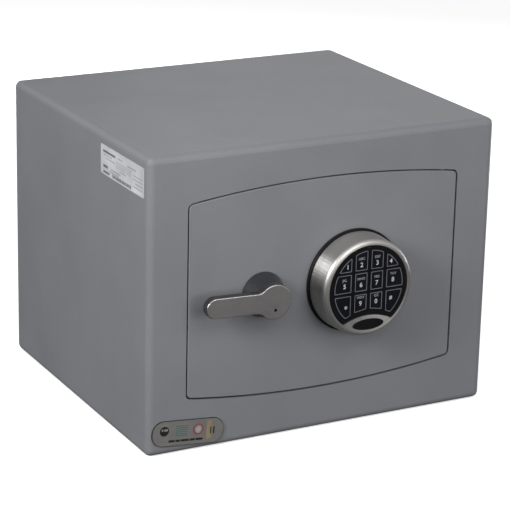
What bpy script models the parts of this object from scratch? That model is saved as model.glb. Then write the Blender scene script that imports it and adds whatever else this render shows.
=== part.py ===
"""In-room safe: a fire-lined steel body, a front-hung door with a lever, and a round keypad lock.

Sizes are in millimetres and scaled once, where a mesh is made. X runs right, Y to the back and
Z up. The origin lies under the middle of the body, and the door's front face is at y = -D / 2.
"""

import math

import bmesh
import bpy
from mathutils.geometry import tessellate_polygon

MM = 0.001
GAP = 0.3  # between two pieces that touch

# body
W, D, H = 350.0, 305.0, 275.0
EDGE_R, WALL = 6.0, 3.0
FRONT, BACK = -D / 2, D / 2
BEHIND = FRONT + WALL  # back of the front flange
CABIN_X, CABIN_Z, CABIN_BACK, SKIN = 140.0, (38.0, 241.6), 118.0, 1.2
REAR_OPENING = (-160.0, 15.0, 160.0, 260.0)
ANCHORS = ((-70.0, 190.0), (70.0, 190.0))

# doorway: straight sides, bowed top and bottom
DOOR_X, DOOR_Z, DOOR_HIGH, BOW_R, DOOR_CORNER = 136.5, 139.8, 99.5, 950.0, 5.0
DOOR_GAP, PLATE = 1.5, 8.0
PLATE_BACK = FRONT + PLATE
PAN = (-124.0, 56.0, 112.0, 224.0)
PAN_BACK = -97.0
HARDWARE_BACK = -111.0

# hinge, on the right behind the flange
PIVOT_X, PIVOT_Y, PIN_R = 123.0, -147.0, 2.3

# lever and its drive
LEVER_X, LEVER_Z, LEVER_TILT = -63.0, 138.4, 2.0
HUB_R, HEAD_R, ARM_HALF, ARM_END, FILLET = 21.0, 16.4, 9.5, 57.8, 9.0
CRANK, SPINDLE_R = 15.0, 6.0
CAM_Y = (-141.0, -137.3)

# boltwork
WEB_Y = (-136.5, -132.5)
BOLT_Y, BOLT_R, BOLT_TIP, BOLT_ZS = -126.0, 9.0, -132.0, (195.0, 85.0)
STRIKE_BACK = -112.6
STUD_X, STUD_ZS = -88.0, (176.0, 104.0)
THROW = 15.0

# lock behind the keypad
LOCK = (-42.0, 96.0, 40.0, 146.0)
LOCK_Y = (-140.9, -119.3)
SWING_X, SWING_Z, SWING_R, SWING_REACH, SWING_REST = -14.0, 112.0, 6.5, 29.5, 130.0

# keypad
PAD_X, PAD_Z = 30.0, 139.3
FACE_R, BEZEL_DEEP = 40.4, 28.0
CABLE_UP = 25.7


def circle(x, z, radius, steps=48):
    turn = 2 * math.pi / steps
    return [(x + radius * math.cos(i * turn), z + radius * math.sin(i * turn)) for i in range(steps)]


def ellipse(x, z, wide, high, steps=48):
    return [(x + wide * px, z + high * pz) for px, pz in circle(0, 0, 1, steps)]


def box_outline(x0, z0, x1, z1):
    return [(x0, z0), (x1, z0), (x1, z1), (x0, z1)]


def rounded(outline, radius, steps=5, least=20.0):
    """The outline with an arc at each corner that turns by more than least degrees."""
    out = []
    for i, here in enumerate(outline):
        before, after = outline[i - 1], outline[(i + 1) % len(outline)]
        into = math.atan2(here[1] - before[1], here[0] - before[0])
        away = math.atan2(after[1] - here[1], after[0] - here[0])
        turn = (away - into + math.pi) % (2 * math.pi) - math.pi
        if abs(turn) < math.radians(least):
            out.append(here)
            continue
        side = math.copysign(1, turn)
        back = radius * math.tan(abs(turn) / 2)
        start = (here[0] - back * math.cos(into), here[1] - back * math.sin(into))
        mid = (start[0] - side * radius * math.sin(into), start[1] + side * radius * math.cos(into))
        for k in range(steps + 1):
            a = into - side * math.pi / 2 + turn * k / steps
            out.append((mid[0] + radius * math.cos(a), mid[1] + radius * math.sin(a)))
    return out


def spaced(outline, least):
    """The outline without edges shorter than least: each loses its end that turns less."""
    out = list(outline)

    def turn(i):
        (ax, az), (x, z), (bx, bz) = out[i - 1], out[i], out[(i + 1) % len(out)]
        return abs((math.atan2(bz - z, bx - x) - math.atan2(z - az, x - ax) + math.pi) % (2 * math.pi) - math.pi)

    while True:
        short = [i for i in range(len(out)) if math.dist(out[i - 1], out[i]) < least]
        if not short:
            return out
        i = short[0]
        out.pop(i if turn(i) < turn(i - 1) else i - 1)


def clipped(outline, px, pz, nx, nz):
    """The part of a convex outline on the side of (px, pz) that the normal points away from."""
    out = []
    for i, here in enumerate(outline):
        before = outline[i - 1]
        a = (before[0] - px) * nx + (before[1] - pz) * nz
        b = (here[0] - px) * nx + (here[1] - pz) * nz
        if (a <= 0) != (b <= 0):
            t = a / (a - b)
            out.append((before[0] + t * (here[0] - before[0]), before[1] + t * (here[1] - before[1])))
        if b <= 0:
            out.append(here)
    return out


def grown(outline, by):
    """A counter-clockwise outline moved out along its corners' normals."""
    out = []
    for i, (x, z) in enumerate(outline):
        (ax, az), (bx, bz) = outline[i - 1], outline[(i + 1) % len(outline)]
        u = (z - az, ax - x)
        v = (bz - z, x - bx)
        lu, lv = math.hypot(*u), math.hypot(*v)
        nx, nz = u[0] / lu + v[0] / lv, u[1] / lu + v[1] / lv
        scale = 2 * by / (nx * nx + nz * nz)
        out.append((x + nx * scale, z + nz * scale))
    return out


def turned(outline, x, z, degrees):
    c, s = math.cos(math.radians(degrees)), math.sin(math.radians(degrees))
    return [(x + px * c - pz * s, z + px * s + pz * c) for px, pz in outline]


def bowed(grow):
    """The doorway's outline, grown outwards by a distance."""
    half, high, n = DOOR_X + grow, DOOR_HIGH + grow, 20
    xs = [half - 2 * half * i / n for i in range(n + 1)]
    rise = [high - BOW_R + math.sqrt(BOW_R**2 - x * x) for x in xs]
    top = [(x, DOOR_Z + r) for x, r in zip(xs, rise)]
    bottom = [(-x, DOOR_Z - r) for x, r in zip(xs, rise)]
    return rounded(top + bottom, DOOR_CORNER + grow, 6)


def shell(verts, faces):
    mesh = bmesh.new()
    made = [mesh.verts.new(tuple(c * MM for c in v)) for v in verts]
    for face in faces:
        mesh.faces.new([made[i] for i in face])
    bmesh.ops.recalc_face_normals(mesh, faces=mesh.faces)
    return mesh


def stack(rings, place, holes=()):
    """Rings of equal length, joined in order and capped. place(u, v, t) gives a point."""
    verts, faces, n = [], [], len(rings[0][0])
    for ring, t in rings:
        verts += [place(u, v, t) for u, v in ring]
    for k in range(len(rings) - 1):
        a, b = k * n, (k + 1) * n
        faces += [(a + i, a + (i + 1) % n, b + (i + 1) % n, b + i) for i in range(n)]
    first, last = rings[0][1], rings[-1][1]
    caps = [[(i, 0) for i in range(n)], [((len(rings) - 1) * n + i, 0) for i in range(n)]]
    loops = [[rings[0][0]], [rings[-1][0]]]
    for hole in holes:
        a, m = len(verts), len(hole)
        verts += [place(u, v, first) for u, v in hole] + [place(u, v, last) for u, v in hole]
        faces += [(a + i, a + (i + 1) % m, a + m + (i + 1) % m, a + m + i) for i in range(m)]
        caps[0] += [(a + i, 0) for i in range(m)]
        caps[1] += [(a + m + i, 0) for i in range(m)]
        loops[0].append(hole)
        loops[1].append(hole)
    for index, loop in zip(caps, loops):
        flat = [[(u, v, 0.0) for u, v in part] for part in loop]
        faces += [tuple(index[i][0] for i in tri) for tri in tessellate_polygon(flat)]
    return shell(verts, faces)


def along_y(u, v, t):
    return (u, t, v)


def along_x(u, v, t):
    return (t, u, v)


def along_z(u, v, t):
    return (u, v, t)


def prism(outline, t0, t1, place=along_y, holes=()):
    return stack([(outline, t0), (outline, t1)], place, holes)


def box(x0, y0, z0, x1, y1, z1):
    return prism(box_outline(x0, z0, x1, z1), y0, y1)


def lathe(profile, u, v, place=along_y, steps=48):
    """A (radius, distance) profile turned about the line through (u, v). One that starts off
    the line is a ring and closes on itself."""
    verts, rows, faces = [], [], []
    for radius, t in profile:
        rows.append(len(verts))
        verts += [place(a, b, t) for a, b in circle(u, v, radius, steps)] if radius else [place(u, v, t)]
    last = len(profile) - 1
    pairs = [(k, k + 1) for k in range(last)]
    if profile[0][0] and profile[last][0]:
        pairs.append((last, 0))
    for k, j in pairs:
        a, b = rows[k], rows[j]
        for i in range(steps):
            n = (i + 1) % steps
            if not profile[k][0]:
                faces.append((a, b + i, b + n))
            elif not profile[j][0]:
                faces.append((a + i, a + n, b))
            else:
                faces.append((a + i, a + n, b + n, b + i))
    return shell(verts, faces)


def rounded_box(x0, y0, z0, x1, y1, z1, radius, steps=4):
    mesh = box(x0, y0, z0, x1, y1, z1)
    bmesh.ops.dissolve_limit(mesh, angle_limit=0.01, verts=mesh.verts, edges=mesh.edges)
    bmesh.ops.bevel(mesh, geom=mesh.edges, offset=radius * MM, offset_type="OFFSET", segments=steps,
                    profile=0.5, affect="EDGES")
    return mesh


def as_object(name, mesh):
    data = bpy.data.meshes.new(name)
    mesh.to_mesh(data)
    mesh.free()
    made = bpy.data.objects.new(name, data)
    bpy.context.scene.collection.objects.link(made)
    return made


def combine(mesh, kind, *tools):
    """The mesh with each tool cut from it (DIFFERENCE) or joined to it (UNION)."""
    work = as_object("work", mesh)
    for tool in tools:
        other = as_object("tool", tool)
        step = work.modifiers.new("step", "BOOLEAN")
        step.operation, step.solver, step.object = kind, "EXACT", other
        bpy.context.view_layer.update()
        result = bpy.data.meshes.new_from_object(work.evaluated_get(bpy.context.evaluated_depsgraph_get()))
        work.modifiers.clear()
        work.data = result
        bpy.data.objects.remove(other)
    out = bmesh.new()
    out.from_mesh(work.data)
    bpy.data.objects.remove(work)
    return out


def cut(mesh, *tools):
    return combine(mesh, "DIFFERENCE", *tools)


def join(mesh, *tools):
    return combine(mesh, "UNION", *tools)


def piece(name, mesh, colour, roughness, metallic=0.0, smooth=True):
    """One sub-part with a material of its own."""
    made = as_object(name, mesh)
    paint = bpy.data.materials.new(name)
    paint.use_nodes = True
    shader = paint.node_tree.nodes["Principled BSDF"]
    shader.inputs["Base Color"].default_value = (*colour, 1)
    shader.inputs["Roughness"].default_value = roughness
    shader.inputs["Metallic"].default_value = metallic
    made.data.materials.clear()
    made.data.materials.append(paint)
    for face in made.data.polygons:
        face.use_smooth = smooth
        face.material_index = 0
    made.data.set_sharp_from_angle(angle=math.radians(28))
    return made


PAINT = ((0.215, 0.220, 0.232), 0.48)
STEEL = ((0.55, 0.55, 0.54), 0.38, 1.0)
ZINC = ((0.62, 0.63, 0.62), 0.45, 1.0)
NICKEL = ((0.60, 0.56, 0.49), 0.33, 1.0)
CHROME = ((0.80, 0.80, 0.80), 0.12, 1.0)
BLACK = ((0.014, 0.014, 0.016), 0.35)
DARK = ((0.045, 0.045, 0.048), 0.33)
BOARD = ((0.42, 0.40, 0.36), 0.95)


def make_body():
    x, z0, z1 = W / 2 - WALL, WALL, H - WALL
    case = rounded_box(-W / 2, FRONT, 0, W / 2, BACK, H, EDGE_R)
    cavity = rounded_box(-x, BEHIND, z0, x, BACK - WALL, z1, EDGE_R - WALL)
    rear = rounded(box_outline(*REAR_OPENING), 8)
    case = cut(case, cavity, prism(bowed(DOOR_GAP / 2), FRONT - 5, BEHIND + 1),
               prism(rear, BACK - WALL - 1, BACK + 5))
    piece("outer_case", case, *PAINT)
    panel = grown(rear, -GAP)
    holes = [circle(ax, az, 6.0, 24) for ax, az in ANCHORS]
    piece("rear_panel", prism(panel, BACK - WALL + 0.2, BACK, holes=holes), *PAINT)

    # the cabin's liner: five sheets, with the strike plate as the front of the left wall
    side, (low, high), deep = CABIN_X + SKIN, CABIN_Z, CABIN_BACK
    mouth, end = BEHIND + GAP, deep - GAP
    sheets = {
        "liner_floor": box(-side, mouth, low - SKIN, side, end, low),
        "liner_roof": box(-side, mouth, high, side, end, high + SKIN),
        "liner_left": box(-side, STRIKE_BACK + GAP, low + GAP, -CABIN_X, end, high - GAP),
        "liner_right": box(CABIN_X, mouth, low + GAP, side, end, high - GAP),
        "liner_back": prism(box_outline(-side, low - SKIN, side, high + SKIN), deep, deep + SKIN,
                            holes=[circle(ax, az, 6.2, 24) for ax, az in ANCHORS]),
    }
    for name, sheet in sheets.items():
        piece(name, sheet, (0.13, 0.13, 0.135), 0.5, smooth=False)
    fill = cut(
        rounded_box(-x + GAP, BEHIND + GAP, z0 + GAP, x - GAP, BACK - WALL - 0.1, z1 - GAP, EDGE_R - WALL),
        box(-side - GAP, BEHIND - 5, low - SKIN - GAP, side + GAP, deep + SKIN + GAP, high + SKIN + GAP),
        box(-154, BEHIND - 5, low - SKIN - GAP, -CABIN_X, STRIKE_BACK + 2.6, high + SKIN + GAP),
        *[prism(circle(ax, az, 8.3, 24), deep, BACK) for ax, az in ANCHORS],
    )
    piece("barrier_infill", fill, *BOARD, smooth=False)
    strike = cut(box(-144.5, mouth, low + GAP, -CABIN_X, STRIKE_BACK, high - GAP),
                 *[box(-150, -136.6, z - 10.6, -CABIN_X + 5, -115.4, z + 10.6) for z in BOLT_ZS])
    piece("strike_plate", strike, *ZINC, smooth=False)

    for name, way in (("upper_hinge_bracket", 1), ("lower_hinge_bracket", -1)):
        z = sorted(DOOR_Z + way * t for t in (93.2, 101.4))
        pin = sorted(DOOR_Z + way * t for t in (73.5, 95.0))
        block = box(114, BEHIND + GAP, z[0], CABIN_X - GAP, -139, z[1])
        post = lathe([(0, pin[0]), (PIN_R, pin[0]), (PIN_R, pin[1]), (0, pin[1])], PIVOT_X, PIVOT_Y, along_z, 24)
        piece(name, join(block, post), *STEEL)

    for name, (ax, az) in zip(("anchor_sleeve_left", "anchor_sleeve_right"), ANCHORS):
        ring = [(6.2, deep + SKIN + GAP), (8.0, deep + SKIN + GAP), (8.0, BACK - WALL - 0.1), (6.2, BACK - WALL - 0.1)]
        piece(name, lathe(ring, ax, az, steps=24), *ZINC)
    for name, (ax, az) in zip(("anchor_plug_left", "anchor_plug_right"), ANCHORS):
        plug = [(0, deep - 2.6), (8.6, deep - 2.6), (9.6, deep - 1.6), (9.6, deep - GAP), (5.8, deep - GAP),
                (5.8, deep + 18), (0, deep + 18)]
        piece(name, lathe(plug, ax, az, steps=24), *BLACK)
    mat = rounded(box_outline(-138.5, -96, 138.5, 117), 4)
    piece("floor_mat", prism(mat, low + GAP, low + 3.3, along_z), (0.03, 0.031, 0.034), 0.95)

    badge = turned(rounded(box_outline(-35.4, -12.0, 35.4, 12.0), 11.0, 10), -135.2, 19.0, -5.0)
    rings = [(badge, FRONT - GAP), (badge, FRONT - 1.1), (grown(badge, -0.4), FRONT - 1.5)]
    piece("rating_badge", stack(rings, along_y), *NICKEL)
    label = rounded(box_outline(-144.4, 237.5, -54, 264.5), 1.5, 3)
    piece("side_label", prism(label, -W / 2 - 0.4, -W / 2 - 0.1, along_x), (0.8, 0.8, 0.8), 0.5)


def make_door():
    edge = bowed(-DOOR_GAP / 2)
    rings = [(grown(edge, -0.6), FRONT), (edge, FRONT + 0.6), (edge, PLATE_BACK)]
    holes = [prism(circle(LEVER_X, LEVER_Z, SPINDLE_R + GAP, 32), FRONT - 5, PLATE_BACK + 5),
             prism(circle(PAD_X, PAD_Z + CABLE_UP, 4, 24), FRONT - 5, PLATE_BACK + 5)]
    bosses, bores = [], []
    for way in (1, -1):
        z = sorted(DOOR_Z + way * t for t in (66.0, 89.0))
        bore = sorted(DOOR_Z + way * t for t in (72.5, 110.0))
        bosses.append(box(114.5, PLATE_BACK - 1, z[0], 131.5, -138.5, z[1]))
        bores.append(prism(circle(PIVOT_X, PIVOT_Y, PIN_R + 0.15, 24), *bore, along_z))
    plate = cut(join(stack(rings, along_y), *bosses), *holes, *bores)
    piece("door_plate", plate, *PAINT)

    x0, z0, x1, z1 = PAN
    screws = [(x, z) for x in (x0 + 12, x1 - 12) for z in (z0 + 10, z1 - 10)]
    bolt_holes = [prism(circle(BOLT_Y, z, BOLT_R + 1, 32), x0 - 5, x0 + 5, along_x) for z in BOLT_ZS]
    pan = cut(
        rounded_box(x0, PLATE_BACK - 20, z0, x1, PAN_BACK, z1, 4, 3),
        rounded_box(x0 + SKIN, PLATE_BACK - 30, z0 + SKIN, x1 - SKIN, PAN_BACK - SKIN, z1 - SKIN, 2.8, 3),
        box(x0 - 9, PLATE_BACK - 40, z0 - 9, x1 + 9, PLATE_BACK + GAP, z1 + 9),
        *bolt_holes,
        *[prism(circle(x, z, 2.8, 16), PAN_BACK - 5, PAN_BACK + 5) for x, z in screws],
    )
    piece("door_inner_cover", pan, (0.12, 0.12, 0.125), 0.5)
    slab = rounded(box_outline(x0 + 4.2, z0 + 4.2, x1 - 4.2, z1 - 4.2), 3)
    slab = prism(slab, HARDWARE_BACK, PAN_BACK - SKIN - GAP, holes=[circle(x, z, 3.2, 16) for x, z in screws])
    piece("door_insulation", slab, *BOARD)
    for name, (x, z) in zip(("cover_screw_1", "cover_screw_2", "cover_screw_3", "cover_screw_4"), screws):
        screw = [(0, PLATE_BACK + GAP), (2.5, PLATE_BACK + GAP), (2.5, PAN_BACK + GAP), (5, PAN_BACK + GAP),
                 (5, PAN_BACK + 1), (3.4, PAN_BACK + 2.2), (0, PAN_BACK + 2.5)]
        piece(name, lathe(screw, x, z, steps=20), *ZINC)
    dog = box(x1 + GAP, PLATE_BACK + GAP, DOOR_Z - 50, 139, PLATE_BACK + 8.3, DOOR_Z + 50)
    piece("hinge_side_dog", dog, *ZINC, smooth=False)
    hard = rounded(box_outline(2, 98, 78, 180), 6)
    hard = prism(hard, PLATE_BACK + GAP, PLATE_BACK + 3.3, holes=[circle(PAD_X, PAD_Z + CABLE_UP, 4, 24)])
    piece("hard_plate", hard, (0.25, 0.25, 0.26), 0.5, 1.0)


def make_lock():
    x0, z0, x1, z1 = LOCK
    y0, y1 = LOCK_Y
    body = box(x0, y0, z0, x1, y1, z1)
    room = box(x0 + 2, y0 + 2.4, z0 + 2, x1 - 2, y1 + 5, z1 - 2)
    window = box(x0 - 5, -137.5, 103.5, x0 + 5, -128.5, 138)
    cable = prism(circle(PAD_X, -129.0, 2.4, 20), z1 - 8, z1 + 5, along_z)
    post = lathe([(0, y0 + 1), (3, y0 + 1), (3, y1 - 0.5), (0, y1 - 0.5)], SWING_X, SWING_Z, steps=24)
    piece("lock_case", join(cut(body, room, window, cable), post), *ZINC)
    piece("lock_cover", prism(box_outline(x0, z0, x1, z1), y1 + GAP, y1 + 2), *ZINC, smooth=False)
    coil = [(0, -4), (2.5, -4), (2.5, 4), (7, 4), (7, 32), (0, 32)]
    piece("lock_solenoid", lathe(coil, -130, SWING_Z, along_x, 24), (0.35, 0.12, 0.05), 0.4)

    reach, r = SWING_REACH, SWING_R
    arc = [math.pi / 2 - math.pi * i / 10 for i in range(11)]
    hub = [math.pi * (0.65 + 0.7 * i / 12) for i in range(13)]
    outline = [(reach + r * math.cos(a), r * math.sin(a)) for a in reversed(arc)]
    outline += [(8.5 * math.cos(a), 8.5 * math.sin(a)) for a in hub]
    bar = turned(outline, SWING_X, SWING_Z, SWING_REST)
    piece("swing_bolt", prism(bar, -137.0, -129.0, holes=[circle(SWING_X, SWING_Z, 3.3, 24)]), *STEEL)


def make_boltwork():
    heel, slack = BOLT_TIP + 32, 0.5
    web = [(-100, 72), (-62, 72), (-62, 104), (-45, 104), (-45, 120), (-62, 120), (-62, 143), (-48, 143),
           (-48, 162), (-62, 162), (-62, 208), (-100, 208)]
    pin_x = LEVER_X + CRANK / 2
    top = LEVER_Z + CRANK
    slots = [rounded(box_outline(pin_x - 3 - slack, top - 5.5, pin_x + 3 + slack, top + 3.6), 3.2, 6)]
    for z in STUD_ZS:
        slots.append(rounded(box_outline(STUD_X - 3.6, z - 3.4, STUD_X + THROW + 3.6, z + 3.4), 3.3, 6))
    flange = box(heel, WEB_Y[1] - 2, 72, heel + 4, -115, 208)
    stubs = [prism(circle(BOLT_Y, z, 4.3, 24), heel - 5, heel + 9, along_x) for z in BOLT_ZS]
    carrier = cut(join(prism(rounded(web, 2, 3), *WEB_Y, holes=slots), flange), *stubs)
    piece("bolt_carrier", carrier, *ZINC)
    for name, z in zip(("upper_bolt", "lower_bolt"), BOLT_ZS):
        bolt = [(0, BOLT_TIP), (BOLT_R - 2, BOLT_TIP), (BOLT_R, BOLT_TIP + 2), (BOLT_R, heel - GAP),
                (4, heel - GAP), (4, heel + 5.5), (0, heel + 5.5)]
        piece(name, lathe(bolt, BOLT_Y, z, along_x, 32), *CHROME)
    # an angle screwed to the door, with two headed studs that the carrier's slots run on
    foot = [(-121, PLATE_BACK + GAP), (STUD_X + 7, PLATE_BACK + GAP), (STUD_X + 7, PLATE_BACK + 3.3),
            (-118, PLATE_BACK + 3.3), (-118, -113), (-121, -113)]
    profile = [(0, PLATE_BACK + 1), (5, PLATE_BACK + 1), (5, WEB_Y[0] - GAP), (3, WEB_Y[0] - GAP),
               (3, WEB_Y[1] + GAP), (5.5, WEB_Y[1] + GAP), (5.5, WEB_Y[1] + 2.5), (0, WEB_Y[1] + 2.5)]
    studs = [lathe(profile, STUD_X, z, steps=24) for z in STUD_ZS]
    guide = cut(join(prism(foot, 71, 209, along_z), *studs),
                *[prism(circle(BOLT_Y, z, BOLT_R + GAP, 32), -125, -112, along_x) for z in BOLT_ZS])
    piece("bolt_guide", guide, *ZINC)


def lever_outline(inset=0.0):
    """A round head that runs by fillets into an arm with a round end, pointing to the left."""
    head, half, soft = HEAD_R - inset, ARM_HALF - inset, FILLET + inset
    fx = -math.sqrt((head + soft) ** 2 - (half + soft) ** 2)
    fz = half + soft
    touch = math.atan2(fz, fx)
    out = [(head * math.cos(a), head * math.sin(a)) for a in (-touch + 2 * touch * i / 40 for i in range(41))]
    first, last = touch + math.pi, 1.5 * math.pi
    upper = [first + (last - first) * i / 8 for i in range(1, 9)]
    out += [(fx + soft * math.cos(a), fz + soft * math.sin(a)) for a in upper]
    end = [math.pi * (0.5 + i / 20) for i in range(21)]
    out += [(-ARM_END + half * math.cos(a), half * math.sin(a)) for a in end]
    out += [(fx + soft * math.cos(a), -fz - soft * math.sin(a)) for a in reversed(upper)]
    return turned(out, LEVER_X, LEVER_Z, -LEVER_TILT)


def make_lever():
    hub = [(0, FRONT - 0.4), (HUB_R - 0.4, FRONT - 0.4), (HUB_R, FRONT - 0.9), (HUB_R - 0.5, FRONT - 3),
           (HEAD_R - 0.2, FRONT - 17.8), (0, FRONT - 17.8)]
    rings = [(lever_outline(0.5), FRONT - 16.9), (lever_outline(), FRONT - 17.4), (lever_outline(), FRONT - 23.4)]
    bore = lathe([(0, FRONT + 3), (SPINDLE_R + GAP, FRONT + 3), (SPINDLE_R + GAP, FRONT - 14), (0, FRONT - 14)],
                 LEVER_X, LEVER_Z, steps=32)
    lever = cut(join(stack(rings, along_y), lathe(hub, LEVER_X, LEVER_Z, steps=64)), bore)
    piece("handle_lever", lever, *DARK)
    rings = [(lever_outline(0.3), FRONT - 23.6), (lever_outline(0.3), FRONT - 24.5), (lever_outline(0.9), FRONT - 25)]
    screw_x, screw_z = LEVER_X + 0.4, LEVER_Z - 7.4
    plate = stack(rings, along_y)
    plate = cut(plate, prism(circle(screw_x, screw_z, 1.5, 20), FRONT - 30, FRONT - 20))
    piece("handle_face_plate", plate, (0.62, 0.58, 0.52), 0.3, 1.0)
    piece("handle_grub_screw", lathe([(0, FRONT - 23.6), (1.3, FRONT - 23.6), (1.3, FRONT - 24.3), (0, FRONT - 24.3)],
                                     screw_x, screw_z, steps=20), *BLACK)
    spindle = [(0, FRONT - 13.7), (SPINDLE_R, FRONT - 13.7), (SPINDLE_R, CAM_Y[1]), (0, CAM_Y[1])]
    piece("handle_spindle", lathe(spindle, LEVER_X, LEVER_Z, steps=32), *STEEL)

    pin_x = LEVER_X + CRANK * math.sin(math.radians(30))
    pin_z = LEVER_Z + CRANK * math.cos(math.radians(30))
    hull = [(LEVER_X + 11 * math.cos(a), LEVER_Z + 11 * math.sin(a))
            for a in (math.radians(120 + 24 * i) for i in range(11))]
    hull += [(pin_x + 6 * math.cos(a), pin_z + 6 * math.sin(a)) for a in (math.radians(30 * i) for i in range(0, 5))]
    cam = prism(hull, *CAM_Y, holes=[circle(LEVER_X, LEVER_Z, SPINDLE_R + GAP, 32)])
    pin = lathe([(0, CAM_Y[0] + 1.5), (3, CAM_Y[0] + 1.5), (3, -131.6), (0, -131.6)], pin_x, pin_z, steps=24)
    piece("drive_cam", join(cam, pin), *ZINC)


def pad_opening(inset=0.0):
    """The black face's outline about the keypad's axis: a circle with an arched chin left out."""
    radius, arch_z, arch_r = FACE_R - inset, -79.1, 53.5 + inset
    high = (arch_z**2 + radius**2 - arch_r**2) / (2 * arch_z)
    half = math.sqrt(radius**2 - high**2)
    start = math.atan2(high, half)
    sweep = math.pi - 2 * start
    out = [(radius * math.cos(start + sweep * i / 60), radius * math.sin(start + sweep * i / 60)) for i in range(61)]
    a0, a1 = math.atan2(high - arch_z, -half), math.atan2(high - arch_z, half)
    out += [(arch_r * math.cos(a0 + (a1 - a0) * i / 16), arch_z + arch_r * math.sin(a0 + (a1 - a0) * i / 16))
            for i in range(1, 16)]
    return [(PAD_X + x, PAD_Z + z) for x, z in rounded(out, 1.5, 3, 40)]


def key_outline(column, row):
    """One key between the columns' and rows' gaps, trimmed by the round rim and the chin."""
    xs = ((-40, -17.8), (-14.6, -1.6), (1.6, 14.6), (17.8, 40))[column]
    zs = ((17.5, 40), (-2.0, 15.6), (-40, -4.4))[row]
    out = box_outline(xs[0], zs[0], xs[1], zs[1])
    for i in range(72):
        a = math.radians(5 * i)
        out = clipped(out, 35.55 * math.cos(a), 0.6 + 35.55 * math.sin(a), math.cos(a), math.sin(a))
    if row == 2 and column in (1, 2):
        side = -1 if column == 1 else 1
        out = clipped(out, side * 1.6, -19.6, side * -0.174, -0.985)
    elif row == 2:
        side = -1 if column == 0 else 1
        out = clipped(out, side * 16.5, -23.1, side * -0.416, -0.909)
    return [(PAD_X + x, PAD_Z + z) for x, z in rounded(spaced(out, 1.7), 1.1, 4)]


def make_keypad():
    cable = circle(PAD_X, PAD_Z + CABLE_UP, 4, 24)
    base = circle(PAD_X, PAD_Z, 48.4, 72)
    rings = [(base, FRONT - GAP), (base, FRONT - 2.4), (grown(base, -0.6), FRONT - 3)]
    piece("keypad_base", cut(stack(rings, along_y), prism(cable, FRONT - 9, FRONT + 5)), *BLACK)

    profile = [(0, FRONT - 3.3), (46.3, FRONT - 3.3), (46.45, FRONT - 4), (45.5, FRONT - 24)]
    for i in range(1, 7):
        a = math.radians(15 * i)
        profile.append((41.5 + 4 * math.cos(a), FRONT - 24 - 4 * math.sin(a)))
    profile.append((0, FRONT - BEZEL_DEEP))
    bezel = cut(
        lathe(profile, PAD_X, PAD_Z, steps=96),
        prism(circle(PAD_X, PAD_Z, 43.0, 72), FRONT - 24.8, FRONT),
        prism(pad_opening(), FRONT - 40, FRONT - 24),
    )
    piece("keypad_bezel", bezel, *NICKEL)

    keys = {"1": (0, 0), "2": (1, 0), "3": (2, 0), "4": (3, 0), "5": (0, 1), "6": (1, 1), "7": (2, 1),
            "8": (3, 1), "star": (0, 2), "9": (1, 2), "0": (2, 2), "hash": (3, 2)}
    holes = [grown(key_outline(*spot), GAP) for spot in keys.values()]
    holes.append(circle(PAD_X, PAD_Z + 37.8, 1.5, 20))
    face = prism(pad_opening(0.3), FRONT - 27.3, FRONT - 25.3, holes=holes)
    piece("keypad_faceplate", face, *BLACK)
    for name, spot in keys.items():
        outline = key_outline(*spot)
        rings = [(grown(outline, 0.6), FRONT - 23.9), (grown(outline, 0.6), FRONT - 25.0), (outline, FRONT - 25.01),
                 (outline, FRONT - 27.7), (grown(outline, -0.3), FRONT - 28.0)]
        piece("key_" + name, stack(rings, along_y), (0.02, 0.022, 0.032), 0.4)
    circuit = prism(circle(PAD_X, PAD_Z, 41.5, 60), FRONT - 22.8, FRONT - 21.2)
    piece("keypad_board", circuit, (0.02, 0.12, 0.05), 0.4)
    cell = rounded(box_outline(PAD_X - 24.2, PAD_Z - 25.5, PAD_X + 24.2, PAD_Z + 1), 2, 3)
    piece("battery", prism(cell, FRONT - 20.8, FRONT - 3.4), (0.3, 0.3, 0.32), 0.4)
    led = [(0, FRONT - 23.2), (1.3, FRONT - 23.2), (1.3, FRONT - 27.3), (0.9, FRONT - 27.8), (0, FRONT - 28)]
    piece("status_led", lathe(led, PAD_X, PAD_Z + 37.8, steps=16), (0.3, 0.01, 0.01), 0.3)
    plate = ellipse(PAD_X + 0.6, PAD_Z - 34.0, 15.9, 5.1)
    rings = [(plate, FRONT - 28.2), (plate, FRONT - 28.7), (grown(plate, -0.3), FRONT - 29)]
    piece("keypad_badge", stack(rings, along_y), *BLACK)


def make_cable():
    """The lock cable: from behind the circuit board, through the door, down into the lock."""
    data = bpy.data.curves.new("keypad_cable", "CURVE")
    data.dimensions, data.bevel_depth, data.bevel_resolution, data.use_fill_caps = "3D", 1.6 * MM, 2, True
    high, bend, level, low = PAD_Z + CABLE_UP, 7.0, -129.0, 132.0
    path = [(FRONT - 19.5, high), (FRONT - 10, high), (PLATE_BACK + 2, high)]
    for i in range(9):
        a = math.pi / 2 * i / 8
        path.append((level - bend + bend * math.sin(a), high - bend + bend * math.cos(a)))
    path += [(level, 150), (level, low)]
    line = data.splines.new("POLY")
    line.points.add(len(path) - 1)
    for point, (y, z) in zip(line.points, path):
        point.co = (PAD_X * MM, y * MM, z * MM, 1)
    made = bpy.data.objects.new("keypad_cable", data)
    bpy.context.scene.collection.objects.link(made)
    paint = bpy.data.materials.new("keypad_cable")
    paint.use_nodes = True
    paint.node_tree.nodes["Principled BSDF"].inputs["Base Color"].default_value = (0.02, 0.02, 0.02, 1)
    data.materials.append(paint)


for old in list(bpy.data.objects):
    bpy.data.objects.remove(old)
make_body()
make_door()
make_lock()
make_boltwork()
make_lever()
make_keypad()
make_cable()
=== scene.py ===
"""In-room safe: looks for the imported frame. Millimetres in the constants, metres in the scene."""

import math

import bmesh
import bpy
from mathutils import Matrix, Vector
from mathutils.geometry import tessellate_polygon


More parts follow.
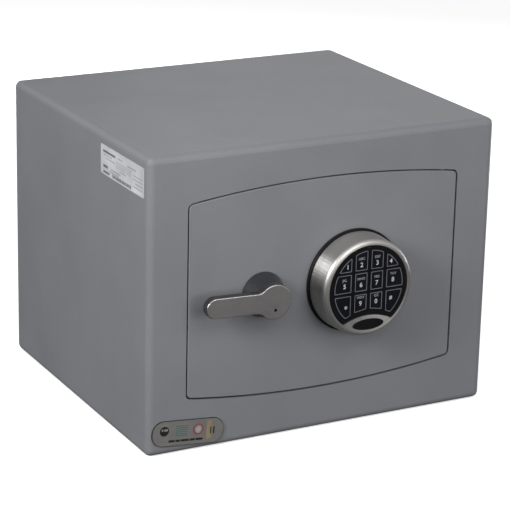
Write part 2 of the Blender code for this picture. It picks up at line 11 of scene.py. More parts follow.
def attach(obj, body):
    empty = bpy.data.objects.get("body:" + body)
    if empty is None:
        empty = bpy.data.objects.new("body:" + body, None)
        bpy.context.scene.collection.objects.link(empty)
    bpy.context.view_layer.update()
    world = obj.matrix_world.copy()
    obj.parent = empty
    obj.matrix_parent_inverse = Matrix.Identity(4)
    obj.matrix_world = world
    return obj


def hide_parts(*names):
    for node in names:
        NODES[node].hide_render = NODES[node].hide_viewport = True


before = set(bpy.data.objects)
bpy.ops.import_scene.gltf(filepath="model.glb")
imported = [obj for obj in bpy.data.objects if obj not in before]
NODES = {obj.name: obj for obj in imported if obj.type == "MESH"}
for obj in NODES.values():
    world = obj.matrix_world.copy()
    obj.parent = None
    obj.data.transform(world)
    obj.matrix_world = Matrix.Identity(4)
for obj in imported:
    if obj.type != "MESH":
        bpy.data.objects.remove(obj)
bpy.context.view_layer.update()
MM = 0.001

FRONT, W = -152.5, 350.0
PAD_X, PAD_Z = 30.0, 139.3  # middle of the keypad
LEVER_X, LEVER_Z, LEVER_TILT = -63.0, 138.4, 2.0
HEAD_R, ARM_HALF, ARM_END, FILLET = 16.4, 9.5, 57.8, 9.0

# ---------------------------------------------------------------- outlines


def circle(x, z, radius, steps=48):
    turn = 2 * math.pi / steps
    return [(x + radius * math.cos(i * turn), z + radius * math.sin(i * turn)) for i in range(steps)]


def box_outline(x0, z0, x1, z1):
    return [(x0, z0), (x1, z0), (x1, z1), (x0, z1)]


def rounded(outline, radius, steps=5, least=20.0):
    """The outline with an arc at each corner that turns by more than least degrees."""
    out = []
    for i, here in enumerate(outline):
        before, after = outline[i - 1], outline[(i + 1) % len(outline)]
        into = math.atan2(here[1] - before[1], here[0] - before[0])
        away = math.atan2(after[1] - here[1], after[0] - here[0])
        turn = (away - into + math.pi) % (2 * math.pi) - math.pi
        if abs(turn) < math.radians(least):
            out.append(here)
            continue
        side = math.copysign(1, turn)
        back = radius * math.tan(abs(turn) / 2)
        start = (here[0] - back * math.cos(into), here[1] - back * math.sin(into))
        mid = (start[0] - side * radius * math.sin(into), start[1] + side * radius * math.cos(into))
        for k in range(steps + 1):
            a = into - side * math.pi / 2 + turn * k / steps
            out.append((mid[0] + radius * math.cos(a), mid[1] + radius * math.sin(a)))
    return out


def spaced(outline, least):
    """The outline without edges shorter than least: each loses its end that turns less."""
    out = list(outline)

    def turn(i):
        (ax, az), (x, z), (bx, bz) = out[i - 1], out[i], out[(i + 1) % len(out)]
        change = math.atan2(bz - z, bx - x) - math.atan2(z - az, x - ax)
        return abs((change + math.pi) % (2 * math.pi) - math.pi)

    while True:
        short = [i for i in range(len(out)) if math.dist(out[i - 1], out[i]) < least]
        if not short:
            return out
        i = short[0]
        out.pop(i if turn(i) < turn(i - 1) else i - 1)


def clipped(outline, px, pz, nx, nz):
    out = []
    for i, here in enumerate(outline):
        before = outline[i - 1]
        a = (before[0] - px) * nx + (before[1] - pz) * nz
        b = (here[0] - px) * nx + (here[1] - pz) * nz
        if (a <= 0) != (b <= 0):
            t = a / (a - b)
            out.append((before[0] + t * (here[0] - before[0]), before[1] + t * (here[1] - before[1])))
        if b <= 0:
            out.append(here)
    return out


def grown(outline, by):
    """A counter-clockwise outline moved out along its corners' normals."""
    out = []
    for i, (x, z) in enumerate(outline):
        (ax, az), (bx, bz) = outline[i - 1], outline[(i + 1) % len(outline)]
        u = (z - az, ax - x)
        v = (bz - z, x - bx)
        lu, lv = math.hypot(*u), math.hypot(*v)
        nx, nz = u[0] / lu + v[0] / lv, u[1] / lu + v[1] / lv
        scale = 2 * by / (nx * nx + nz * nz)
        out.append((x + nx * scale, z + nz * scale))
    return out


def turned(outline, x, z, degrees):
    c, s = math.cos(math.radians(degrees)), math.sin(math.radians(degrees))
    return [(x + px * c - pz * s, z + px * s + pz * c) for px, pz in outline]


# ---------------------------------------------------------------- meshes


def along_y(u, v, t):
    return (u, t, v)


def along_x(u, v, t):
    return (t, u, v)


def shell(verts, faces):
    mesh = bmesh.new()
    made = [mesh.verts.new(tuple(c * MM for c in v)) for v in verts]
    for face in faces:
        mesh.faces.new([made[i] for i in face])
    bmesh.ops.recalc_face_normals(mesh, faces=mesh.faces)
    return mesh


def stack(rings, place=along_y, holes=()):
    """Rings of equal length, joined in order and capped, with holes straight through."""
    verts, faces, n = [], [], len(rings[0][0])
    for ring, t in rings:
        verts += [place(u, v, t) for u, v in ring]
    for k in range(len(rings) - 1):
        a, b = k * n, (k + 1) * n
        faces += [(a + i, a + (i + 1) % n, b + (i + 1) % n, b + i) for i in range(n)]
    first, last = rings[0][1], rings[-1][1]
    caps = [list(range(n)), [(len(rings) - 1) * n + i for i in range(n)]]
    loops = [[rings[0][0]], [rings[-1][0]]]
    for hole in holes:
        a, m = len(verts), len(hole)
        verts += [place(u, v, first) for u, v in hole] + [place(u, v, last) for u, v in hole]
        faces += [(a + i, a + (i + 1) % m, a + m + (i + 1) % m, a + m + i) for i in range(m)]
        caps[0] += range(a, a + m)
        caps[1] += range(a + m, a + 2 * m)
        loops[0].append(hole)
        loops[1].append(hole)
    for index, loop in zip(caps, loops):
        flat = [[(u, v, 0.0) for u, v in part] for part in loop]
        faces += [tuple(index[i] for i in tri) for tri in tessellate_polygon(flat)]
    return shell(verts, faces)


def frame_ring(outer, inner, t0, t1, place=along_y):
    """A flat band between two outlines of equal length."""
    n = len(outer)
    verts = [place(u, v, t) for t in (t0, t1) for ring in (outer, inner) for u, v in ring]
    faces = []
    for i in range(n):
        j = (i + 1) % n
        faces += [(i, j, n + j, n + i), (2 * n + i, 3 * n + i, 3 * n + j, 2 * n + j),
                  (i, 2 * n + i, 2 * n + j, j), (n + i, n + j, 3 * n + j, 3 * n + i)]
    return shell(verts, faces)


def merged(*parts):
    """Several meshes in one, side by side."""
    out = bmesh.new()
    for part in parts:
        data = bpy.data.meshes.new("part")
        part.to_mesh(data)
        part.free()
        out.from_mesh(data)
        bpy.data.meshes.remove(data)
    return out


def piece(name, mesh, body, material, sharp=30.0):
    data = bpy.data.meshes.new(name)
    mesh.to_mesh(data)
    mesh.free()
    for face in data.polygons:
        face.use_smooth = True
    data.set_sharp_from_angle(angle=math.radians(sharp))
    data.materials.append(material)
    made = bpy.data.objects.new(name, data)
    bpy.context.scene.collection.objects.link(made)
    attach(made, body)
    return made


# ---------------------------------------------------------------- materials


class Nodes:
    """A Principled material and short ways to add nodes to it."""

    def __init__(self, name, colour, roughness, metallic=0.0, **more):
        self.material = bpy.data.materials.new(name)
        self.material.use_nodes = True
        self.tree = self.material.node_tree
        self.shader = self.tree.nodes["Principled BSDF"]
        self.put("Base Color", (*colour, 1))
        self.put("Roughness", roughness)
        self.put("Metallic", metallic)
        for key, value in more.items():
            self.put(key.replace("_", " "), value)
        self.coords = self.add("ShaderNodeTexCoord").outputs["Object"]

    def put(self, socket, value):
        self.shader.inputs[socket].default_value = value

    def add(self, kind, **settings):
        node = self.tree.nodes.new(kind)
        for key, value in settings.items():
            setattr(node, key, value)
        return node

    def link(self, out, into):
        self.tree.links.new(out, into)

    def math(self, operation, a, b=None):
        node = self.add("ShaderNodeMath", operation=operation)
        for socket, value in zip(node.inputs, (a, b)):
            if value is None:
                continue
            if isinstance(value, (int, float)):
                socket.default_value = value
            else:
                self.link(value, socket)
        return node.outputs[0]

    def noise(self, scale, detail=3.0, rough=0.55, stretch=None, vector=None):
        node = self.add("ShaderNodeTexNoise")
        node.inputs["Scale"].default_value = scale
        node.inputs["Detail"].default_value = detail
        node.inputs["Roughness"].default_value = rough
        vector = vector or self.coords
        if stretch:
            scaled = self.add("ShaderNodeVectorMath", operation="MULTIPLY")
            self.link(vector, scaled.inputs[0])
            scaled.inputs[1].default_value = stretch
            vector = scaled.outputs[0]
        self.link(vector, node.inputs["Vector"])
        return node.outputs["Fac"]

    def ramp(self, value, low, high, at=(0.3, 0.7)):
        """value between at[0] and at[1] becomes low to high."""
        node = self.add("ShaderNodeMapRange")
        self.link(value, node.inputs["Value"])
        for key, number in zip(("From Min", "From Max", "To Min", "To Max"), (*at, low, high)):
            node.inputs[key].default_value = number
        return node.outputs["Result"]

    def tint(self, value, dark, light, at=(0.3, 0.7)):
        mix = self.add("ShaderNodeMix", data_type="RGBA")
        self.link(self.ramp(value, 0.0, 1.0, at), mix.inputs["Factor"])
        mix.inputs["A"].default_value = (*dark, 1)
        mix.inputs["B"].default_value = (*light, 1)
        return mix.outputs["Result"]

    def bump(self, height, distance, strength=1.0):
        node = self.add("ShaderNodeBump")
        node.inputs["Strength"].default_value = strength
        node.inputs["Distance"].default_value = distance
        self.link(height, node.inputs["Height"])
        old = self.shader.inputs["Normal"]
        if old.is_linked:
            self.link(old.links[0].from_socket, node.inputs["Normal"])
        self.link(node.outputs["Normal"], old)


def shade(colour, by):
    return tuple(c * by for c in colour)


def powder_coat(name, colour, roughness=0.46, grain=1500.0, depth=0.00006):
    """Fine-textured paint: a tight orange peel, tiny flecks and slow cloudiness."""
    m = Nodes(name, colour, roughness, Specular_IOR_Level=0.3)
    peel = m.noise(grain, 2.0, 0.6)
    cloud = m.noise(14.0, 3.0, 0.5)
    fleck = m.noise(grain * 1.7, 1.0, 0.5)
    both = m.math("ADD", m.math("MULTIPLY", cloud, 0.35), m.math("MULTIPLY", fleck, 0.65))
    tinted = m.tint(both, shade(colour, 0.90), shade(colour, 1.10), (0.35, 0.65))
    m.link(tinted, m.shader.inputs["Base Color"])
    m.link(m.ramp(peel, roughness - 0.05, roughness + 0.06), m.shader.inputs["Roughness"])
    m.bump(peel, depth, 0.5)
    m.bump(cloud, 0.00015, 0.15)
    return m.material


# The third number lifts the front rim's colour over the drum's: a painted highlight; the two grains are the
# rim's and the drum's own finishes.
RIM_GRAIN, DRUM_GRAIN, RIM_PAINTED_HIGHLIGHT = 0.5, 0.92, 1.2  # the bezel's front rim against its drum


def brushed(name, colour, roughness, stretch, scale=1.0, amount=0.06, around=None):
    """Metal with fine lines. stretch is how fast the lines change along each axis; around is an
    (x, z) axis that the lines run round instead."""
    m = Nodes(name, colour, roughness, 1.0)
    vector = None
    if around:
        parts = m.add("ShaderNodeSeparateXYZ")
        m.link(m.coords, parts.inputs[0])
        x = m.math("SUBTRACT", parts.outputs["X"], around[0] * MM)
        z = m.math("SUBTRACT", parts.outputs["Z"], around[1] * MM)
        angle = m.math("ARCTAN2", z, x)
        radius = m.math("SQRT", m.math("ADD", m.math("MULTIPLY", x, x), m.math("MULTIPLY", z, z)))
        whole = m.add("ShaderNodeCombineXYZ")
        m.link(m.math("MULTIPLY", angle, 0.001), whole.inputs["X"])
        m.link(radius, whole.inputs["Y"])
        m.link(parts.outputs["Y"], whole.inputs["Z"])
        vector = whole.outputs[0]
        grain = m.add("ShaderNodeTangent", direction_type="RADIAL", axis="Y")
        m.link(grain.outputs["Tangent"], m.shader.inputs["Tangent"])
        m.put("Anisotropic Rotation", 0.25)
        drum = m.ramp(parts.outputs["Y"], 0.0, 1.0, ((FRONT - 26.5) * MM, (FRONT - 23.5) * MM))
        m.link(m.ramp(drum, RIM_GRAIN, DRUM_GRAIN, (0, 1)), m.shader.inputs["Anisotropic"])
    lines = m.noise(scale, 4.0, 0.65, stretch, vector)
    cloud = m.noise(60.0, 2.0, 0.5)
    m.link(m.ramp(lines, roughness - amount, roughness + amount), m.shader.inputs["Roughness"])
    both = m.math("ADD", m.math("MULTIPLY", lines, 0.7), m.math("MULTIPLY", cloud, 0.3))
    tinted = m.tint(both, shade(colour, 0.86), shade(colour, 1.08))
    # The front rim gets a lighter colour than the drum: a painted highlight.
    if around:
        painted_rim_highlight = m.add("ShaderNodeVectorMath", operation="SCALE")
        m.link(tinted, painted_rim_highlight.inputs[0])
        m.link(m.ramp(drum, RIM_PAINTED_HIGHLIGHT, 1.0, (0, 1)), painted_rim_highlight.inputs["Scale"])
        tinted = painted_rim_highlight.outputs[0]
    m.link(tinted, m.shader.inputs["Base Color"])
    m.bump(lines, 0.00003, 0.35)
    return m.material


def moulded(name, colour, roughness, grain=2200.0, depth=0.00003, **more):
    m = Nodes(name, colour, roughness, **more)
    fine = m.noise(grain, 2.0, 0.5)
    cloud = m.noise(45.0, 2.0, 0.5)
    m.link(m.ramp(fine, roughness - 0.04, roughness + 0.05), m.shader.inputs["Roughness"])
    m.link(m.tint(cloud, shade(colour, 0.85), shade(colour, 1.15)), m.shader.inputs["Base Color"])
    m.bump(fine, depth, 0.4)
    return m.material


def felt_cloth(name, colour):
    m = Nodes(name, colour, 0.95, Sheen_Weight=0.35, Sheen_Roughness=0.6)
    fibre = m.noise(900.0, 6.0, 0.75)
    clump = m.noise(160.0, 3.0, 0.6)
    m.link(m.tint(fibre, shade(colour, 0.55), shade(colour, 1.6)), m.shader.inputs["Base Color"])
    m.bump(fibre, 0.0006, 0.7)
    m.bump(clump, 0.0006, 0.5)
    return m.material


def plaster(name, colour):
    m = Nodes(name, colour, 0.95)
    grit = m.noise(500.0, 5.0, 0.7)
    patch = m.noise(35.0, 4.0, 0.6)
    m.link(m.tint(patch, shade(colour, 0.8), shade(colour, 1.12)), m.shader.inputs["Base Color"])
    m.bump(grit, 0.0004, 0.7)
    return m.material


GREY = (0.222, 0.226, 0.243)
STEEL_COLOUR = (0.56, 0.56, 0.55)
paint = powder_coat("body_paint", GREY)
door_paint = powder_coat("door_paint", GREY)
dark_paint = powder_coat("liner_paint", (0.165, 0.168, 0.178), 0.5)
zinc = brushed("zinc_plate", (0.60, 0.61, 0.60), 0.36, (400, 400, 400), amount=0.09)
steel = brushed("machined_steel", STEEL_COLOUR, 0.34, (60, 900, 900))
hard = brushed("hardened_plate", (0.16, 0.16, 0.17), 0.5, (300, 300, 300))
chrome = brushed("bolt_chrome", (0.80, 0.80, 0.80), 0.12, (2500, 60, 60), amount=0.03)
nickel = brushed("bezel_nickel", (0.52, 0.508, 0.488), 0.42, (900, 1500, 1500), around=(PAD_X, PAD_Z))
lever_metal = brushed("lever_plate_metal", (0.315, 0.303, 0.30), 0.50, (120, 900, 1500))
# The lever plate's rim is a polished bevel; its colour, twice the plate's, is a painted highlight.
polished_rim_highlight = brushed("lever_rim_metal", (0.66, 0.63, 0.60), 0.26, (300, 300, 300), amount=0.03)
badge_metal = brushed("badge_metal", (0.40, 0.39, 0.372), 0.55, (120, 900, 2200))
black = moulded("black_plastic", (0.006, 0.006, 0.007), 0.34, Specular_IOR_Level=0.22)
lever_dark = moulded("lever_coat", (0.034, 0.035, 0.038), 0.34, 1600.0, 0.00004, Specular_IOR_Level=0.4)
face_black = moulded("keypad_face", (0.005, 0.005, 0.006), 0.32, Specular_IOR_Level=0.25)
key_blue = moulded("key_cap", (0.0045, 0.0052, 0.0085), 0.30, Specular_IOR_Level=0.25)
line_grey = moulded("key_outline", (0.17, 0.17, 0.19), 0.5)
legend = moulded("key_legend", (0.66, 0.66, 0.70), 0.5)
legend_dim = moulded("key_letters", (0.30, 0.30, 0.33), 0.5)
red_lens = moulded("led_lens", (0.02, 0.003, 0.003), 0.4, Specular_IOR_Level=0.25)
board = moulded("circuit_board", (0.02, 0.12, 0.05), 0.4)
cell_case = moulded("battery_case", (0.25, 0.25, 0.27), 0.4)
coil_tape = moulded("coil_tape", (0.35, 0.12, 0.05), 0.4)
sheath = moulded("cable_sheath", (0.02, 0.02, 0.02), 0.55)
gypsum = plaster("mineral_board", (0.42, 0.40, 0.36))
felt = felt_cloth("floor_felt", (0.028, 0.029, 0.033))
label_film = moulded("label_film", (0.55, 0.55, 0.572), 0.42)
label_ink = moulded("label_ink", (0.15, 0.15, 0.16), 0.5)
label_grey = moulded("label_grey", (0.33, 0.34, 0.355), 0.5)
# Black for the badge's prints, and also for the badge's sides and rim as painted shade.
print_and_rim_shade_black = moulded("badge_black", (0.012, 0.012, 0.013), 0.4)
ink_teal = moulded("badge_teal", (0.10, 0.15, 0.14), 0.45)
ink_red = moulded("badge_red", (0.23, 0.06, 0.08), 0.45)
ink_pale = moulded("badge_pale", (0.33, 0.28, 0.28), 0.45)
ink_amber = moulded("badge_amber", (0.27, 0.21, 0.13), 0.45)

FINISH = {
    "outer_case": paint, "rear_panel": paint, "door_plate": door_paint, "liner_floor": dark_paint,
    "liner_roof": dark_paint, "liner_left": dark_paint, "liner_right": dark_paint, "liner_back": dark_paint,
    "door_inner_cover": dark_paint, "barrier_infill": gypsum, "door_insulation": gypsum,
    "strike_plate": zinc, "anchor_sleeve_left": zinc, "anchor_sleeve_right": zinc, "bolt_guide": zinc,
    "lock_case": zinc, "lock_cover": zinc, "hinge_side_dog": zinc, "drive_cam": zinc, "bolt_carrier": zinc,
    "cover_screw_1": zinc, "cover_screw_2": zinc,
    "cover_screw_3": zinc, "cover_screw_4": zinc, "upper_hinge_bracket": steel, "lower_hinge_bracket": steel,
    "handle_spindle": steel, "swing_bolt": steel, "hard_plate": hard, "upper_bolt": chrome,
    "lower_bolt": chrome, "keypad_bezel": nickel, "keypad_base": black, "keypad_faceplate": face_black,
    "keypad_badge": black, "anchor_plug_left": black, "anchor_plug_right": black,
    "handle_grub_screw": black, "handle_lever": lever_dark, "handle_face_plate": lever_metal,
    "status_led": red_lens, "keypad_board": board, "battery": cell_case, "lock_solenoid": coil_tape,
    "keypad_cable": sheath, "floor_mat": felt, "rating_badge": badge_metal, "side_label": label_film,
}
for node_name, node in NODES.items():
    finish = key_blue if node_name.startswith("key_") else FINISH[node_name]
    node.data.materials.clear()
    node.data.materials.append(finish)

# ---------------------------------------------------------------- lever


def lever_outline(inset=0.0, around=1.0):
    """A round head that runs by fillets into an arm with a round end, pointing to the left."""
    head, half, soft = HEAD_R - inset, ARM_HALF - inset, FILLET + inset
    fx = -math.sqrt((head + soft) ** 2 - (half + soft) ** 2)
    fz = half + soft
    touch = math.atan2(fz, fx)
    out = [(head * math.cos(a), head * math.sin(a)) for a in (-touch + 2 * touch * i / 56 for i in range(57))]
    first, last = touch + math.pi, 1.5 * math.pi
    upper = [first + (last - first) * i / 10 for i in range(1, 11)]
    out += [(fx + soft * math.cos(a), fz + soft * math.sin(a)) for a in upper]
    end = [math.pi * (0.5 + i / 28) for i in range(29)]
    out += [(-ARM_END + half * math.cos(a), half * math.sin(a)) for a in end]
    out += [(fx + soft * math.cos(a), -fz - soft * math.sin(a)) for a in reversed(upper)]
    return turned(out, LEVER_X, LEVER_Z, -LEVER_TILT)


def lever_plate():
    """The brushed cover of the lever, with a rounded rim and a drilled hole for its screw."""
    y, inset, flank, rim = FRONT - 23.6, 0.3, 0.7, 0.7
    hole = circle(LEVER_X + 0.4, LEVER_Z - 7.4, 1.5, 28)
    rings = [(lever_outline(inset), y), (lever_outline(inset), y - flank)]
    for i in range(1, 6):
        a = math.radians(18 * i)
        rings.append((lever_outline(inset + rim * (1 - math.cos(a))), y - flank - rim * math.sin(a)))
    return stack(rings, along_y, [hole])


cover = piece("lever_cover_plate", lever_plate(), "lever", lever_metal, 40)
# The plate's flanks and rounded rim take the rim metal, lighter than the face: a painted highlight on a
# polished bevel.
cover.data.materials.append(polished_rim_highlight)
for face in cover.data.polygons:
    if len(face.vertices) == 3:
        face.use_smooth = False
    elif face.normal.y > -0.98:
        face.material_index = 1
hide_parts("handle_face_plate")

# ---------------------------------------------------------------- keypad


def key_outline(column, row):
    """A key's cell cut by the round edge; the bottom row is also cut by the bezel's arch."""
    xs = ((-40, -17.8), (-14.6, -1.6), (1.6, 14.6), (17.8, 40))[column]
    zs = ((17.5, 40), (-2.0, 15.6), (-40, -4.4))[row]
    out = box_outline(xs[0], zs[0], xs[1], zs[1])
    reach, up = 35.55, 0.6  # the circle that all the keys stay inside
    for i in range(72):
        a = math.radians(5 * i)
        out = clipped(out, reach * math.cos(a), up + reach * math.sin(a), math.cos(a), math.sin(a))
    if row == 2 and column in (1, 2):
        side = -1 if column == 1 else 1
        out = clipped(out, side * 1.6, -19.6, side * -0.174, -0.985)
    elif row == 2:
        side = -1 if column == 0 else 1
        out = clipped(out, side * 16.5, -23.1, side * -0.416, -0.909)
    return [(PAD_X + x, PAD_Z + z) for x, z in rounded(spaced(out, 1.7), 1.1, 4)]


def words(name, text, size, x, z, y, body, material, bold=0.0):
    """Raised lettering whose middle is at (x, z), facing the front."""
    data = bpy.data.curves.new(name, "FONT")
    data.body = text
    data.size = size * MM
    data.align_x = data.align_y = "CENTER"
    data.extrude = 0.04 * MM
    data.offset = bold * MM
    data.resolution_u = 3
    data.materials.append(material)
    made = bpy.data.objects.new(name, data)
    made.location = (x * MM, y * MM, z * MM)
    made.rotation_euler = (math.pi / 2, 0, 0)
    bpy.context.scene.collection.objects.link(made)
    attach(made, body)
    return made


KEYS = (("key_1", 0, 0, "1", ""), ("key_2", 1, 0, "2", "ABC"), ("key_3", 2, 0, "3", "DEF"),
        ("key_4", 3, 0, "4", ""), ("key_5", 0, 1, "5", "JKL"), ("key_6", 1, 1, "6", "MNO"),
        ("key_7", 2, 1, "7", "PRS"), ("key_8", 3, 1, "8", "TUV"), ("key_star", 0, 2, "*", ""),
        ("key_9", 1, 2, "9", "WXY"), ("key_0", 2, 2, "0", "QZ"), ("key_hash", 3, 2, "#", ""))
KEY_FACE = FRONT - 28.0
DIGIT_AT = {"key_1": (-22.3, 22.6), "key_2": (-8.1, 23.0), "key_3": (8.1, 23.0), "key_4": (22.3, 22.8),
            "key_5": (-25.0, 4.6), "key_6": (-8.1, 4.2), "key_7": (8.1, 4.2), "key_8": (25.0, 5.0),
            "key_star": (-23.0, -14.6), "key_9": (-8.1, -13.4), "key_0": (8.1, -13.4),
            "key_hash": (23.4, -12.0)}
DIGIT_SIZE, LETTER_SIZE, LETTERS_UP = 6.1, 3.4, 5.8
SIGN_SIZE = {"*": 7.6, "#": 5.0}
STAR_SINK = 2.2  # the star sits high in its own letter cell
for name, column, row, digit, letters in KEYS:
    outline = key_outline(column, row)
    rim = frame_ring(grown(outline, -0.35), grown(outline, -0.95), KEY_FACE - 0.06, KEY_FACE + 0.2)
    piece(name + "_outline", rim, name, line_grey)
    dx, dz = DIGIT_AT[name]
    sink = STAR_SINK if digit == "*" else 0.0
    size = SIGN_SIZE.get(digit, DIGIT_SIZE)
    print_y = KEY_FACE - 0.03
    words(name + "_digit", digit, size, PAD_X + dx, PAD_Z + dz - sink, print_y, name, legend, 0.05)
    if letters:
        z = PAD_Z + dz + LETTERS_UP
        words(name + "_letters", letters, LETTER_SIZE, PAD_X + dx, z, print_y, name, legend_dim, 0.06)

# ---------------------------------------------------------------- rating badge and side label

BADGE_X, BADGE_Z, BADGE_TILT, BADGE_Y = -135.2, 19.0, -5.0, FRONT - 1.5


def on_badge(outline):
    """An outline given from the badge's middle, along its length and its height."""
    return turned(outline, BADGE_X, BADGE_Z, BADGE_TILT)


def badge_mark(name, outlines, material, lift=0.06):
    """Flat prints that stand lift millimetres proud of the badge."""
    parts = [stack([(on_badge(o), BADGE_Y + 0.2), (on_badge(o), BADGE_Y - lift)]) for o in outlines]
    return piece(name, merged(*parts), "body", material)


badge = rounded(box_outline(-35.4, -12.0, 35.4, 12.0), 11.0, 14)
BADGE_RIM = 0.5
rings = [(on_badge(badge), FRONT - 0.15), (on_badge(badge), FRONT - 1.0)]
for i in range(1, 4):
    a = math.radians(30 * i)
    inner = grown(badge, -BADGE_RIM * (1 - math.cos(a)))
    rings.append((on_badge(inner), FRONT - 1.0 - BADGE_RIM * math.sin(a)))
plate = piece("badge_plate", stack(rings), "body", badge_metal, 40)
# The badge's sides and rounded rim are black: painted shade on the bevel, which would otherwise catch the
# light.
plate.data.materials.append(print_and_rim_shade_black)
for face in plate.data.polygons:
    if len(face.vertices) == 3:
        face.use_smooth = False
    else:
        face.material_index = 1
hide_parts("rating_badge")

badge_mark("badge_disc", [circle(-23.6, 2.6, 4.5)], print_and_rim_shade_black)
disc_marks = [box_outline(x, 2.6, x + 1.3, 4.8) for x in (-26.2, -23.6, -21.8)]
badge_mark("badge_disc_marks", disc_marks, ink_pale, 0.1)
hatch = [box_outline(-12.2, z, -0.4, z + 1.1) for z in (-3.0, -1.2, 0.6, 2.4, 4.2, 6.0)]
badge_mark("badge_hatch", hatch, ink_teal)
ring_out, ring_in = (on_badge(circle(10.0, 2.2, radius)) for radius in (5.3, 3.9))
ring = frame_ring(ring_out, ring_in, BADGE_Y - 0.06, BADGE_Y + 0.2)
piece("badge_ring", ring, "body", ink_red)
badge_mark("badge_ring_middle", [circle(10.0, 2.2, 3.2)], ink_pale)
strokes = [turned(box_outline(-0.4, -1.9, 0.4, 1.9), 9.0 + 1.9 * i, 2.2, 30 - 40 * i) for i in range(2)]
badge_mark("badge_ring_strokes", strokes, label_grey, 0.1)
badge_mark("badge_amber_bar", [rounded(box_outline(18.2, -7.8, 23.4, 9.6), 0.6, 3)], ink_amber)
strokes = [box_outline(22.0, -3.0, 23.0, 3.6), box_outline(25.0, -3.0, 26.3, 3.6)]
badge_mark("badge_strokes", strokes, print_and_rim_shade_black, 0.1)
line = []
x = -18.6
for wide in (6.0, 4.4, 8.0, 5.2, 7.0):
    line.append(box_outline(x, -8.2, x + wide, -6.2))
    x += wide + 0.8
badge_mark("badge_line", line, print_and_rim_shade_black)

LABEL_X = -W / 2 - 0.4


def label_marks(name, boxes, material):
    outlines = [box_outline(*corners) for corners in boxes]
    parts = [stack([(o, LABEL_X + 0.1), (o, LABEL_X - 0.05)], along_x) for o in outlines]
    return piece(name, merged(*parts), "body", material)


# The label reads from the back edge of the side (y high) towards the front.
heading = [(-85, 258.0, -59, 260.1), (-69, 244.4, -59.6, 246.8), (-72.6, 239.4, -59.6, 241.2)]
label_marks("label_heading", heading, label_ink)
small_print = [(-78, 255.4, -59.6, 256.5), (-84, 252.8, -64, 253.8), (-96, 244.8, -76, 246.2),
               (-92, 242.6, -74, 243.8), (-108, 247.6, -94, 248.6), (-128, 257.0, -110, 258.2),
               (-141, 252.2, -122, 253.2), (-141, 249.0, -121, 250.0), (-141, 245.6, -126, 246.6),
               (-141, 242.4, -123, 243.4), (-100, 258.6, -90, 259.6)]
label_marks("label_small_print", small_print, label_grey)
barcode = []
y = -79.0
for i in range(22):
    wide = (0.9, 1.5, 0.8, 1.9)[i * 7 % 4]
    barcode.append((y - wide, 238.9, y, 242.0))
    y -= wide + (0.5, 0.3, 0.7)[i * 5 % 3]
label_marks("label_barcode", barcode, label_ink)
label_panel = moulded("label_panel", (0.46, 0.465, 0.48), 0.5)
label_marks("label_panel", [(-119, 249.4, -87, 256.4)], label_panel)
label_patch = moulded("label_patch", (0.62, 0.62, 0.64), 0.45)
label_marks("label_patch", [(-143.4, 238.4, -120.5, 241.6)], label_patch)

# ---------------------------------------------------------------- floor mat


def mat_mesh():
    """A felt sheet with a rounded edge and slight waves."""
    x, y0, y1, low, thick, edge_thick, soft_edge = 138.5, -96.0, 117.0, 38.3, 2.6, 0.9, 2.0
    mesh = bmesh.new()
    nx, ny = 90, 70
    grid = [[None] * (ny + 1) for _ in range(nx + 1)]
    for i in range(nx + 1):
        for j in range(ny + 1):
            px, py = -x + 2 * x * i / nx, y0 + (y1 - y0) * j / ny
            wave = 0.25 * math.sin(px * 0.05 + 1.0) * math.sin(py * 0.06)
            wave += 0.12 * math.sin(px * 0.17 + py * 0.11)
            inside = min(x - abs(px), py - y0, y1 - py)
            soft = min(1.0, inside / soft_edge)
            bulge = math.sqrt(max(0.0, 1 - (1 - soft) ** 2))
            z = low + edge_thick + (thick - edge_thick) * bulge + wave * soft
            grid[i][j] = mesh.verts.new((px * MM, py * MM, z * MM))
    for i in range(nx):
        for j in range(ny):
            mesh.faces.new((grid[i][j], grid[i + 1][j], grid[i + 1][j + 1], grid[i][j + 1]))
    ring = [grid[i][0] for i in range(nx)] + [grid[nx][j] for j in range(ny)]
    ring += [grid[i][ny] for i in range(nx, 0, -1)] + [grid[0][j] for j in range(ny, 0, -1)]
    under = [mesh.verts.new((v.co.x, v.co.y, low * MM)) for v in ring]
    n = len(ring)
    for i in range(n):
        mesh.faces.new((ring[i], under[i], under[(i + 1) % n], ring[(i + 1) % n]))
    mesh.faces.new(under)
    bmesh.ops.recalc_face_normals(mesh, faces=mesh.faces)
    return mesh


mat = piece("felt_floor_mat", mat_mesh(), "body", felt, 60)
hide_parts("floor_mat")

# ---------------------------------------------------------------- stage, light and camera

floor_data = bpy.data.meshes.new("floor")
floor_data.from_pydata([(-15, -15, 0), (15, -15, 0), (15, 15, 0), (-15, 15, 0)], [], [(0, 1, 2, 3)])
floor = bpy.data.objects.new("floor", floor_data)
floor.location.z = -0.0003
bpy.context.scene.collection.objects.link(floor)
floor_paint = Nodes("floor_paint", (0.95, 0.95, 0.95), 0.9, Specular_IOR_Level=0.0, Emission_Strength=0.53)
floor_paint.put("Emission Color", (1, 1, 1, 1))
floor_data.materials.append(floor_paint.material)
floor.visible_glossy = floor.visible_diffuse = False

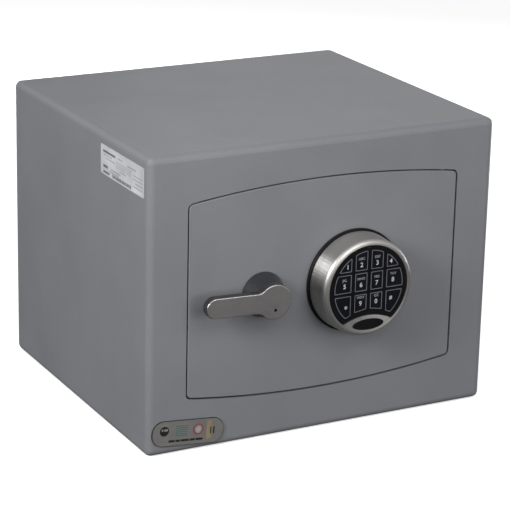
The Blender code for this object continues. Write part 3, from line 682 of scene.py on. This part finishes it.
scene = bpy.context.scene
scene.view_settings.view_transform = "Standard"
scene.view_settings.look = "None"
SKY_ABOVE, SKY_BELOW = 0.4, 0.09  # light from above and below the horizon
world = bpy.data.worlds.new("studio")
scene.world = world
world.use_nodes = True
sky = world.node_tree
direction = sky.nodes.new("ShaderNodeSeparateXYZ")
sky.links.new(sky.nodes.new("ShaderNodeTexCoord").outputs["Generated"], direction.inputs[0])
horizon = sky.nodes.new("ShaderNodeMapRange")
for key, number in zip(("From Min", "From Max", "To Min", "To Max"), (-0.12, 0.02, SKY_BELOW, SKY_ABOVE)):
    horizon.inputs[key].default_value = number
sky.links.new(direction.outputs["Z"], horizon.inputs["Value"])
backdrop = sky.nodes.new("ShaderNodeMix")
sky.links.new(sky.nodes.new("ShaderNodeLightPath").outputs["Is Camera Ray"], backdrop.inputs["Factor"])
sky.links.new(horizon.outputs["Result"], backdrop.inputs["A"])
backdrop.inputs["B"].default_value = 1.0
sky.links.new(backdrop.outputs["Result"], sky.nodes["Background"].inputs["Strength"])
sky.nodes["Background"].inputs["Color"].default_value = (1, 1, 1, 1)


def area_light(name, location, target, size, power):
    data = bpy.data.lights.new(name, "AREA")
    data.shape = "RECTANGLE"
    data.size, data.size_y = size
    data.energy = power
    made = bpy.data.objects.new(name, data)
    made.location = location
    made.rotation_mode = "QUATERNION"
    made.rotation_quaternion = (Vector(target) - Vector(location)).to_track_quat("-Z", "Y")
    bpy.context.scene.collection.objects.link(made)
    return made


area_light("high_left_panel", (-1.2, -0.6, 0.8), (0, -0.1, 0.14), (0.4, 0.5), 13.2)
area_light("low_left_panel", (-1.25, -0.45, 0.27), (0, -0.1, 0.14), (0.45, 0.5), 0.4)
area_light("front_panel", (0.3, -1.8, 0.5), (0, -0.1, 0.14), (0.8, 0.6), 6.5)
area_light("near_panel", (0.0, -0.72, 0.62), (0, -0.15, 0.22), (0.6, 0.25), 1.1)
area_light("right_panel", (1.1, -1.3, 0.45), (0, -0.1, 0.14), (1.0, 0.6), 0.8)
area_light("back_right_panel", (0.9, 1.2, 0.7), (0, 0, 0.2), (1.0, 0.7), 1.6)
area_light("back_left_panel", (-1.2, 0.7, 0.6), (0, 0, 0.14), (0.8, 0.6), 1.3)
# Both stand lower than the top, so they only reach the right side and the back.
area_light("right_side_panel", (1.3, 0.25, 0.13), (0.175, 0, 0.13), (0.6, 0.25), 5.0)
area_light("back_side_panel", (0.2, 1.4, 0.13), (0, 0.15, 0.13), (0.6, 0.25), 5.0)

AZIMUTH, ELEVATION, ROLL, FOCAL = -28.13, 18.27, 1.32, 155.93
CAMERA_AT = (-0.941, -1.7796, 0.7849)
a, e, roll = (math.radians(v) for v in (AZIMUTH, ELEVATION, ROLL))
back = Vector((math.sin(a) * math.cos(e), -math.cos(a) * math.cos(e), math.sin(e)))
right = Vector((math.cos(a), math.sin(a), 0))
up = back.cross(right)
across = right * math.cos(roll) + up * math.sin(roll)
up = up * math.cos(roll) - right * math.sin(roll)
camera = bpy.data.objects.new("camera", bpy.data.cameras.new("camera"))
camera.data.lens, camera.data.sensor_width = FOCAL, 36.0
camera.data.clip_start, camera.data.clip_end = 0.05, 50
turn = Matrix((across, up, back)).transposed().to_4x4()
camera.matrix_world = Matrix.Translation(CAMERA_AT) @ turn
scene.collection.objects.link(camera)
scene.camera = camera
